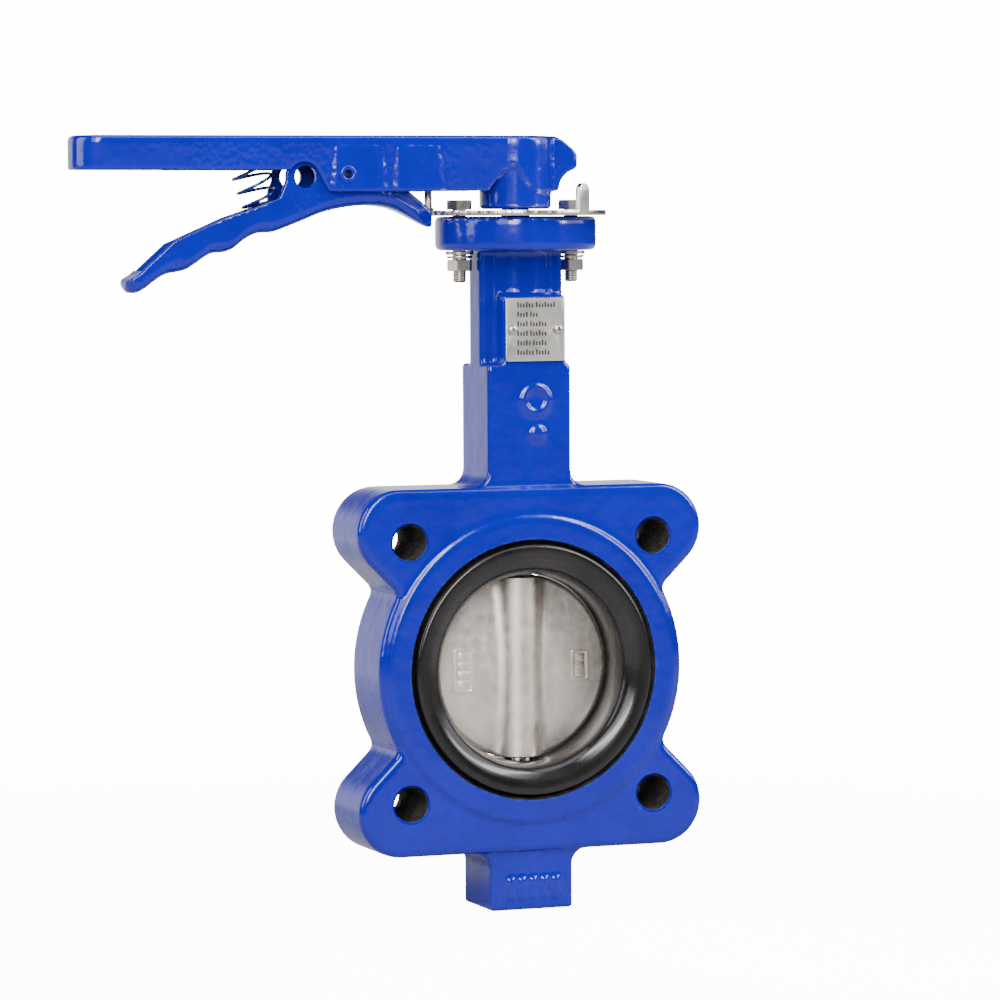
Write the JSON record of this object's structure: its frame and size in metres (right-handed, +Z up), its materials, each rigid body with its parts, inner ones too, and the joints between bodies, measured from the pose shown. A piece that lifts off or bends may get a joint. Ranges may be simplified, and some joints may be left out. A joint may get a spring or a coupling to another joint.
{
  "type": "lever-operated lug butterfly valve",
  "caption": "Lugged butterfly valve for an 80 mm pipe: rubber-lined body, steel disc, notched plate and a hand lever with a squeeze latch.",
  "frame": {"origin": "centre of the bore, where the pipe axis crosses the stem axis", "axes": "+Z up the stem towards the lever, Y along the pipe with -Y the side of the name plate, and the closed lever along -X"},
  "size_m": [0.2797, 0.0786, 0.3369],
  "materials": {
    "blue_enamel": "gloss enamel over cast iron",
    "spring_enamel": "gloss enamel over spring wire",
    "seat_rubber": "semi-gloss moulded",
    "cast_stainless": "satin cast stainless steel",
    "stainless": "bright stainless steel",
    "bush_polymer": "moulded bearing polymer"
  },
  "bodies": {
    "valve": {"valve_body": "blue_enamel", "seat_liner": "seat_rubber", "stem_bush_top": "bush_polymer", "stem_bush_middle": "bush_polymer", "stem_bush_bottom": "bush_polymer", "stem_seal_ring_1": "seat_rubber", "stem_seal_ring_2": "seat_rubber", "notch_plate": "stainless", "flange_bolt_left": "stainless", "flange_bolt_right": "stainless", "flange_washer_left": "stainless", "flange_washer_right": "stainless", "spring_washer_left": "stainless", "spring_washer_right": "stainless", "flange_nut_left": "stainless", "flange_nut_right": "stainless", "name_plate": "stainless", "name_plate_rivet_left": "stainless", "name_plate_rivet_right": "stainless"},
    "stem_line": {"disc": "cast_stainless", "upper_stem": "stainless", "lower_stem": "stainless", "stem_circlip": "stainless", "lever": "blue_enamel", "lever_washer": "stainless", "lever_screw": "stainless", "trigger_pivot_pin": "blue_enamel", "trigger_spring": "spring_enamel"},
    "trigger": {"trigger": "blue_enamel"}
  },
  "joints": [
    {"name": "stem_turn", "type": "hinge", "parent": "valve", "child": "stem_line", "pos_m": [0, 0, 0], "axis": [0, 0, 1], "range_deg": [0, 90]},
    {"name": "trigger_squeeze", "type": "hinge", "parent": "stem_line", "child": "trigger", "pos_m": [-0.0817, 0, 0.2149], "axis": [0, 1, 0], "range_deg": [0, 9], "stiffness_Nm_per_rad": 2, "springref_deg": -17.19, "deforming": ["trigger_spring"]}
  ]
}
